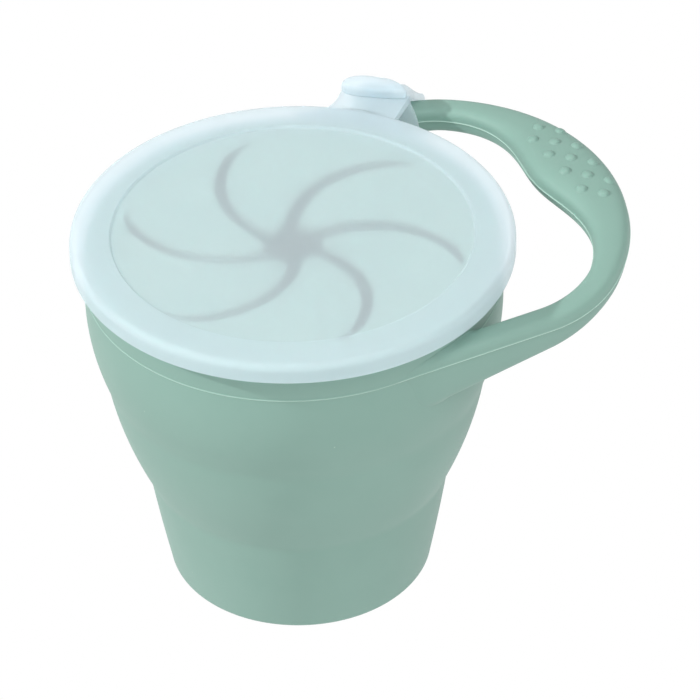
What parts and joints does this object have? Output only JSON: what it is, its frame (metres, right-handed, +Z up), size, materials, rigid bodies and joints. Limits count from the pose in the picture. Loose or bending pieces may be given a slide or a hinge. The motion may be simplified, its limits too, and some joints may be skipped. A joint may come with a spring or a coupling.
{
  "type": "snack cup",
  "caption": "Collapsible three-band soft cup with a moulded carry handle, a flap insert of curved petals and a tethered translucent cover.",
  "frame": {"origin": "middle of the flat base, on the surface that the cup stands on", "axes": "+Z up along the cup's axis, +X towards the middle of the carry handle"},
  "size_m": [0.1291, 0.1, 0.091],
  "materials": {
    "cup_silicone": "matt moulded silicone, sage green",
    "flap_silicone": "matt moulded silicone, sage green",
    "milky_silicone": "satin translucent silicone, milky white"
  },
  "bodies": {
    "base": {"base_cup": "cup_silicone", "lower_fold": "cup_silicone"},
    "middle": {"middle_band": "cup_silicone", "upper_fold": "cup_silicone"},
    "top": {"rim_band": "cup_silicone", "handle": "cup_silicone", "flap_ring": "flap_silicone", "strap": "milky_silicone", "strap_button": "milky_silicone"},
    "petal_1": {"flap_1": "flap_silicone"},
    "petal_2": {"flap_2": "flap_silicone"},
    "petal_3": {"flap_3": "flap_silicone"},
    "petal_4": {"flap_4": "flap_silicone"},
    "petal_5": {"flap_5": "flap_silicone"},
    "petal_6": {"flap_6": "flap_silicone"},
    "lid": {"cover": "milky_silicone", "tongue": "milky_silicone"}
  },
  "joints": [
    {"name": "lower_fold_slide", "type": "slide", "parent": "base", "child": "middle", "axis": [0, 0, -1], "range_m": [0, 0.024], "deforming": ["lower_fold"]},
    {"name": "upper_fold_slide", "type": "slide", "parent": "middle", "child": "top", "axis": [0, 0, -1], "range_m": [0, 0.024], "deforming": ["upper_fold"]},
    {"name": "petal_1_bend", "type": "hinge", "parent": "top", "child": "petal_1", "pos_m": [0.02258, 0.0257, 0.0868], "axis": [0.7513, -0.66, 0], "range_deg": [0, 60], "stiffness_Nm_per_rad": 0.02, "springref_deg": -1.72},
    {"name": "petal_2_bend", "type": "hinge", "parent": "top", "child": "petal_2", "pos_m": [-0.01097, 0.0324, 0.0868], "axis": [0.9472, 0.3206, 0], "range_deg": [0, 60], "stiffness_Nm_per_rad": 0.02, "springref_deg": -1.72},
    {"name": "petal_3_bend", "type": "hinge", "parent": "top", "child": "petal_3", "pos_m": [-0.03354, 0.0067, 0.0868], "axis": [0.1959, 0.9806, 0], "range_deg": [0, 60], "stiffness_Nm_per_rad": 0.02, "springref_deg": -1.72},
    {"name": "petal_4_bend", "type": "hinge", "parent": "top", "child": "petal_4", "pos_m": [-0.02258, -0.0257, 0.0868], "axis": [-0.7513, 0.66, 0], "range_deg": [0, 60], "stiffness_Nm_per_rad": 0.02, "springref_deg": -1.72},
    {"name": "petal_5_bend", "type": "hinge", "parent": "top", "child": "petal_5", "pos_m": [0.01097, -0.0324, 0.0868], "axis": [-0.9472, -0.3206, 0], "range_deg": [0, 60], "stiffness_Nm_per_rad": 0.02, "springref_deg": -1.72},
    {"name": "petal_6_bend", "type": "hinge", "parent": "top", "child": "petal_6", "pos_m": [0.03354, -0.0067, 0.0868], "axis": [-0.1959, -0.9806, 0], "range_deg": [0, 60], "stiffness_Nm_per_rad": 0.02, "springref_deg": -1.72},
    {"name": "lid_hinge", "type": "hinge", "parent": "top", "child": "lid", "pos_m": [0.03696, 0.03658, 0.088], "axis": [-0.7034, 0.7108, 0], "range_deg": [0, 115], "deforming": ["tongue"]}
  ]
}
